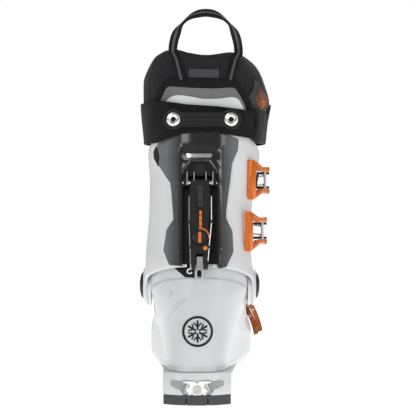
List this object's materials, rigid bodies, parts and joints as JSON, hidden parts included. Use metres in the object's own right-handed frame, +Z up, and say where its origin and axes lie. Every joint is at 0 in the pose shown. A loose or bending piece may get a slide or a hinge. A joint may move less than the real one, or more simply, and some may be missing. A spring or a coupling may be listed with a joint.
{
  "type": "alpine ski boot",
  "caption": "Right alpine ski boot with a hinged cuff, rear ski and walk lever, lever buckles, power strap, padded liner with pull loop, and treaded heel and toe blocks.",
  "frame": {"origin": "on the tread plane under the heel, on the heel's centre line, 32 mm ahead of its rear end", "axes": "+Y towards the toe, +X towards the outer (buckle) side of this right boot, +Z up"},
  "size_m": [0.128, 0.3109, 0.3689],
  "materials": {
    "shell_plastic": "satin injection-moulded polyurethane",
    "sole_plastic": "satin moulded plastic",
    "tread_rubber": "matt moulded rubber",
    "steel": "plain steel",
    "fitting_metal": "bead-blasted steel",
    "board_plastic": "matt moulded board",
    "insole_foam": "felt-topped foam",
    "liner_fabric": "fine knit over foam",
    "insert_plastic": "smooth moulded plastic",
    "emblem_ink": "printed ink",
    "bolt_black": "black anodised",
    "bush_brass": "turned",
    "cuff_plastic": "satin injection-moulded polyurethane",
    "smoked_plastic": "glossy smoked plastic",
    "mechanism_black": "glass-filled nylon",
    "dial_plastic": "moulded nylon",
    "wire_steel": "bright wire",
    "spoiler_plastic": "satin plastic",
    "strap_webbing": "woven nylon webbing",
    "strap_plastic": "soft moulded plastic",
    "rivet_metal": "domed and polished",
    "label_fabric": "woven label, blank",
    "patch_fabric": "printed knit patch",
    "loop_webbing": "woven webbing with a pale centre stripe",
    "buckle_black": "glass-filled nylon",
    "buckle_orange": "orange anodised aluminium",
    "buckle_copper": "dark orange anodised aluminium"
  },
  "bodies": {
    "shell": {"lower_shell": "shell_plastic", "heel_block": "sole_plastic", "toe_block": "sole_plastic", "heel_tread": "tread_rubber", "toe_tread": "tread_rubber", "heel_screws": "steel", "toe_screws": "steel", "heel_fitting": "fitting_metal", "fitting_screw": "steel", "toe_fitting": "fitting_metal", "boot_board": "board_plastic", "insole": "insole_foam", "liner_foot": "liner_fabric", "rear_insert": "insert_plastic", "heel_emblem": "emblem_ink", "hinge_bolt_inner": "bolt_black", "hinge_bolt_outer": "bolt_black", "instep_base": "buckle_black", "toe_base": "buckle_black", "instep_pins": "steel", "toe_pins": "steel", "instep_ladder": "buckle_black", "toe_ladder": "buckle_black"},
    "cuff": {"cuff_shell": "cuff_plastic", "hinge_bush_inner": "bush_brass", "hinge_bush_outer": "bush_brass", "spine_panel": "smoked_plastic", "mech_housing": "mechanism_black", "lever_axle": "steel", "cuff_spoiler": "spoiler_plastic", "power_strap": "strap_webbing", "strap_plate": "strap_plastic", "strap_rivets": "rivet_metal", "strap_keeper": "strap_plastic", "liner_shaft": "liner_fabric", "liner_tongue": "liner_fabric", "liner_label": "label_fabric", "liner_patch": "patch_fabric", "pull_loop": "loop_webbing", "upper_base": "buckle_black", "lower_base": "buckle_black", "upper_pins": "steel", "lower_pins": "steel", "upper_ladder": "buckle_black", "lower_ladder": "buckle_black"},
    "walk_lever": {"walk_lever": "mechanism_black", "lever_wires": "wire_steel"},
    "lock_bar": {"lock_bar": "wire_steel"},
    "mode_dial": {"mode_dial": "dial_plastic"},
    "upper_lever": {"upper_lever": "buckle_orange"},
    "upper_bail": {"upper_bail": "wire_steel"},
    "lower_lever": {"lower_lever": "buckle_orange"},
    "lower_bail": {"lower_bail": "wire_steel"},
    "instep_lever": {"instep_lever": "buckle_copper"},
    "instep_bail": {"instep_bail": "wire_steel"},
    "toe_lever": {"toe_lever": "buckle_copper"},
    "toe_bail": {"toe_bail": "wire_steel"}
  },
  "joints": [
    {"name": "cuff_hinge", "type": "hinge", "parent": "shell", "child": "cuff", "pos_m": [0, 0.053, 0.107], "axis": [-1, 0, 0], "range_deg": [-15, 30]},
    {"name": "walk_lever_hinge", "type": "hinge", "parent": "cuff", "child": "walk_lever", "pos_m": [0.0025, -0.014, 0.2055], "axis": [-1, 0, 0], "range_deg": [0, 70]},
    {"name": "lock_bar_slide", "type": "slide", "parent": "cuff", "child": "lock_bar", "axis": [0, 0.2368, 0.9715], "range_m": [0, 0.008]},
    {"name": "mode_dial_turn", "type": "hinge", "parent": "walk_lever", "child": "mode_dial", "pos_m": [0.0025, -0.02781, 0.15432], "axis": [0, -0.9715, 0.2368], "range_deg": [0, 90]},
    {"name": "upper_lever_hinge", "type": "hinge", "parent": "cuff", "child": "upper_lever", "pos_m": [0.066, 0.064, 0.209], "axis": [0, 0, 1], "range_deg": [0, 110]},
    {"name": "upper_bail_hinge", "type": "hinge", "parent": "upper_lever", "child": "upper_bail", "pos_m": [0.06551, 0.05365, 0.209], "axis": [0, 0, 1], "range_deg": [-112, 2]},
    {"name": "lower_lever_hinge", "type": "hinge", "parent": "cuff", "child": "lower_lever", "pos_m": [0.063, 0.052, 0.16], "axis": [0, 0, 1], "range_deg": [0, 110]},
    {"name": "lower_bail_hinge", "type": "hinge", "parent": "lower_lever", "child": "lower_bail", "pos_m": [0.06251, 0.04165, 0.16], "axis": [0, 0, 1], "range_deg": [-112, 2]},
    {"name": "instep_lever_hinge", "type": "hinge", "parent": "shell", "child": "instep_lever", "pos_m": [0.05, 0.148, 0.086], "axis": [0, -1, 0], "range_deg": [0, 100]},
    {"name": "instep_bail_hinge", "type": "hinge", "parent": "instep_lever", "child": "instep_bail", "pos_m": [0.0561, 0.148, 0.07763], "axis": [0, -1, 0], "range_deg": [-102, 2]},
    {"name": "toe_lever_hinge", "type": "hinge", "parent": "shell", "child": "toe_lever", "pos_m": [0.0478, 0.184, 0.0773], "axis": [0, -1, 0], "range_deg": [0, 100]},
    {"name": "toe_bail_hinge", "type": "hinge", "parent": "toe_lever", "child": "toe_bail", "pos_m": [0.0539, 0.184, 0.06893], "axis": [0, -1, 0], "range_deg": [-102, 2]}
  ],
  "couplings": [
    {"joint": "lock_bar_slide", "follows": "walk_lever_hinge", "m_per_rad": 0.0064},
    {"joint": "upper_bail_hinge", "follows": "upper_lever_hinge", "ratio": -1},
    {"joint": "lower_bail_hinge", "follows": "lower_lever_hinge", "ratio": -1},
    {"joint": "instep_bail_hinge", "follows": "instep_lever_hinge", "ratio": -1},
    {"joint": "toe_bail_hinge", "follows": "toe_lever_hinge", "ratio": -1}
  ]
}
